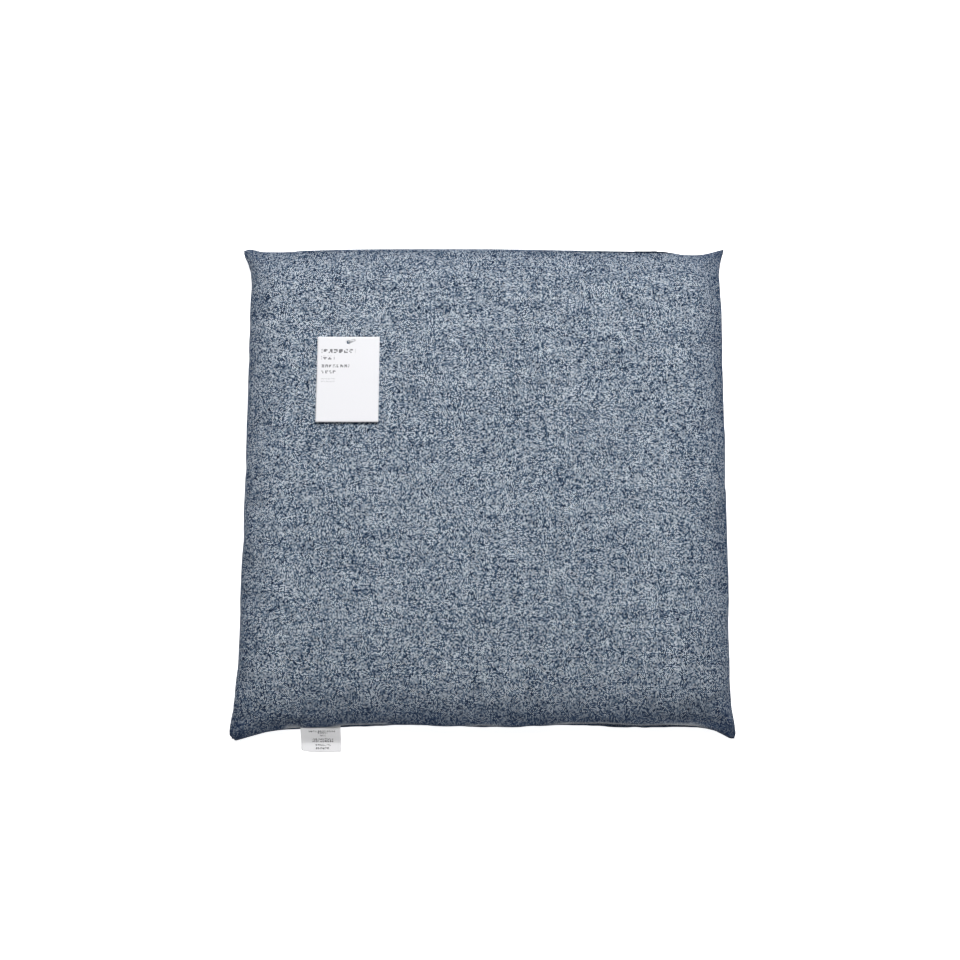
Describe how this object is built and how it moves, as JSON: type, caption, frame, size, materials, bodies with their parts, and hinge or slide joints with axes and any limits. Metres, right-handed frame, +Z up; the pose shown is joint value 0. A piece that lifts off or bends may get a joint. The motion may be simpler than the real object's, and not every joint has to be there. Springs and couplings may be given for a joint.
{
  "type": "chair seat pad",
  "caption": "Thin square foam seat pad in a cloth cover with turned-out corners, a zip in the back edge, a care label in the front seam and a pinned card tag.",
  "frame": {"origin": "middle of the flat underside that rests on the seat", "axes": "+Z up through the pad, +Y towards the zip edge, -Y towards the care label's seam, +X to the right seen from the label's side"},
  "size_m": [0.415, 0.4319, 0.0314],
  "materials": {
    "cover_cloth": "matt heather weave",
    "foam": "open-cell foam",
    "liner": "matt nonwoven",
    "white_thread": "spun thread",
    "navy_thread": "spun thread",
    "zip_tape": "herringbone tape",
    "zip_coil": "semi-gloss nylon",
    "stop_metal": "satin",
    "slider_metal": "satin paint",
    "label_satin": "satin",
    "clear_nylon": "translucent",
    "tag_card": "coated card"
  },
  "bodies": {
    "pad": {"foam_core": "foam", "liner_top": "liner", "liner_bottom": "liner", "liner_thread": "white_thread", "cover_top": "cover_cloth", "cover_bottom": "cover_cloth", "side_seam_thread": "navy_thread", "overlock_thread": "navy_thread", "zip_tape_upper": "zip_tape", "zip_tape_lower": "zip_tape", "zip_coil_upper": "zip_coil", "zip_coil_lower": "zip_coil", "zip_top_stops": "stop_metal", "zip_bottom_stop": "stop_metal", "zip_stitch_upper": "navy_thread", "zip_stitch_lower": "navy_thread"},
    "tag_pin": {"tag_pin_bar": "clear_nylon"},
    "hang_tag": {"hang_tag": "tag_card", "tag_pin_head": "clear_nylon"},
    "zip_slider": {"zip_slider": "slider_metal"},
    "pull_tab": {"pull_tab": "slider_metal"},
    "care_label": {"care_label": "label_satin"}
  },
  "joints": [
    {"name": "slider_travel", "type": "slide", "parent": "pad", "child": "zip_slider", "axis": [-1, 0, 0], "range_m": [0, 0.288]},
    {"name": "pull_swing", "type": "hinge", "parent": "zip_slider", "child": "pull_tab", "pos_m": [0.1452, 0.20005, 0.015], "axis": [0, 0, -1], "range_deg": [0, 180]},
    {"name": "label_lift", "type": "hinge", "parent": "pad", "child": "care_label", "pos_m": [-0.1328, -0.20336, 0.0098], "axis": [-1, 0, 0], "range_deg": [0, 100]},
    {"name": "tag_turn", "type": "hinge", "parent": "pad", "child": "tag_pin", "pos_m": [-0.1145, 0.1145, 0.03], "axis": [0, 0, 1], "continuous": true},
    {"name": "tag_flip", "type": "hinge", "parent": "tag_pin", "child": "hang_tag", "pos_m": [-0.1145, 0.1193, 0.0308], "axis": [-1, 0, 0], "range_deg": [0, 150]}
  ]
}
